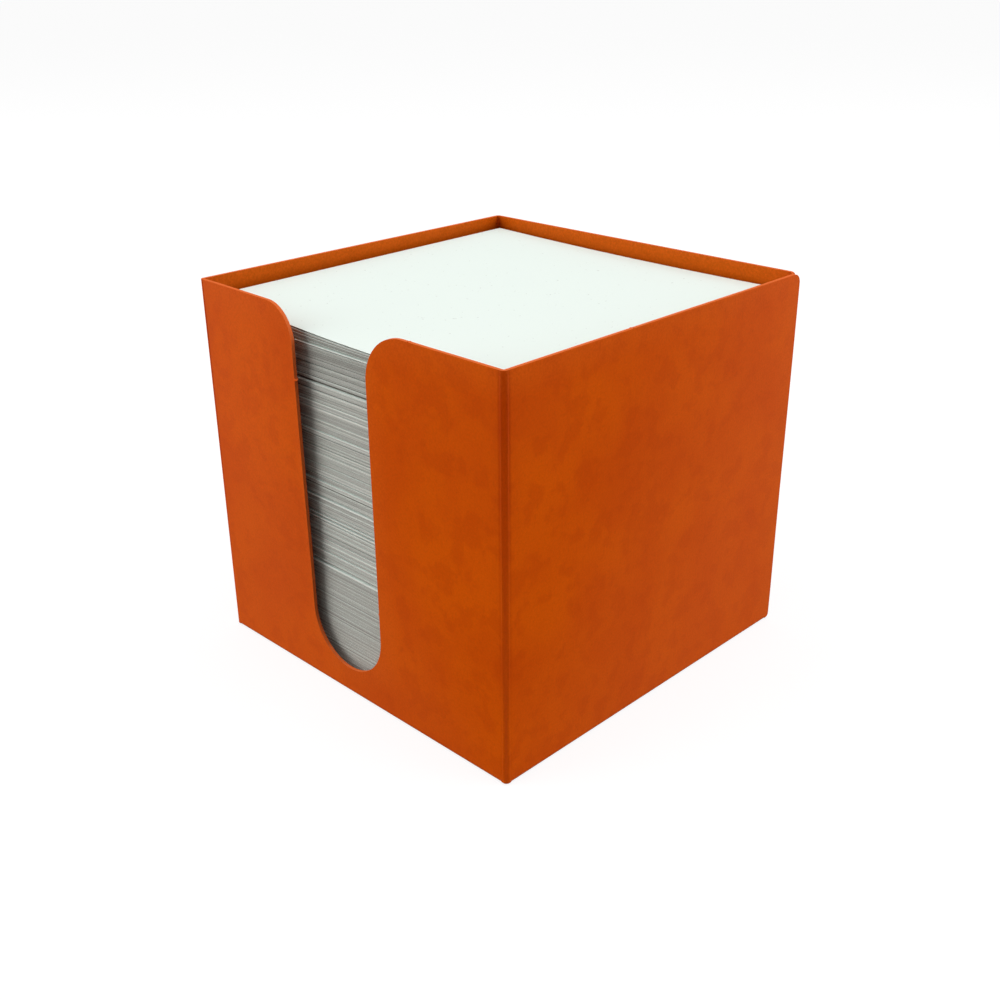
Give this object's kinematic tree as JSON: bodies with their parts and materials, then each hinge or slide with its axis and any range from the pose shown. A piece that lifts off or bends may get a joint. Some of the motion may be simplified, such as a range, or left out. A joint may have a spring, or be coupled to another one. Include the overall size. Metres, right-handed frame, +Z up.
{
  "type": "memo cube holder",
  "caption": "Open-topped cube folded from one blank of mottled pressboard, with a round-footed finger slot in one wall, filled with loose white memo leaves.",
  "frame": {"origin": "middle of the holder's footprint, on the desk it stands on", "axes": "+Z up; -Y is the wall with the finger slot; +X is the plain wall whose rear end is the glued side seam"},
  "size_m": [0.095, 0.095, 0.0885],
  "materials": {
    "pressboard": "satin",
    "paper": "matte",
    "glue": "satin"
  },
  "bodies": {
    "holder": {"front_wall": "pressboard", "right_wall": "pressboard", "left_wall": "pressboard", "rear_wall": "pressboard", "side_glue_flap": "pressboard", "base_panel": "pressboard", "front_base_tab": "pressboard", "right_base_tab": "pressboard", "left_base_tab": "pressboard", "side_seam_glue": "glue", "front_tab_glue": "glue", "right_tab_glue": "glue", "left_tab_glue": "glue"},
    "refill": {"leaf_packet_1": "paper", "leaf_packet_2": "paper", "leaf_packet_3": "paper", "leaf_packet_4": "paper", "leaf_packet_5": "paper"},
    "loose_packet": {"leaf_packet_6": "paper"},
    "loose_leaf": {"top_leaf": "paper"}
  },
  "joints": [
    {"name": "refill_lift", "type": "slide", "parent": "holder", "child": "refill", "axis": [0, 0, 1], "range_m": [0, 0.1]},
    {"name": "packet_lift", "type": "slide", "parent": "refill", "child": "loose_packet", "axis": [0, 0, 1], "range_m": [0, 0.04]},
    {"name": "leaf_lift", "type": "slide", "parent": "loose_packet", "child": "loose_leaf", "axis": [0, 0, 1], "range_m": [0, 0.04]}
  ]
}
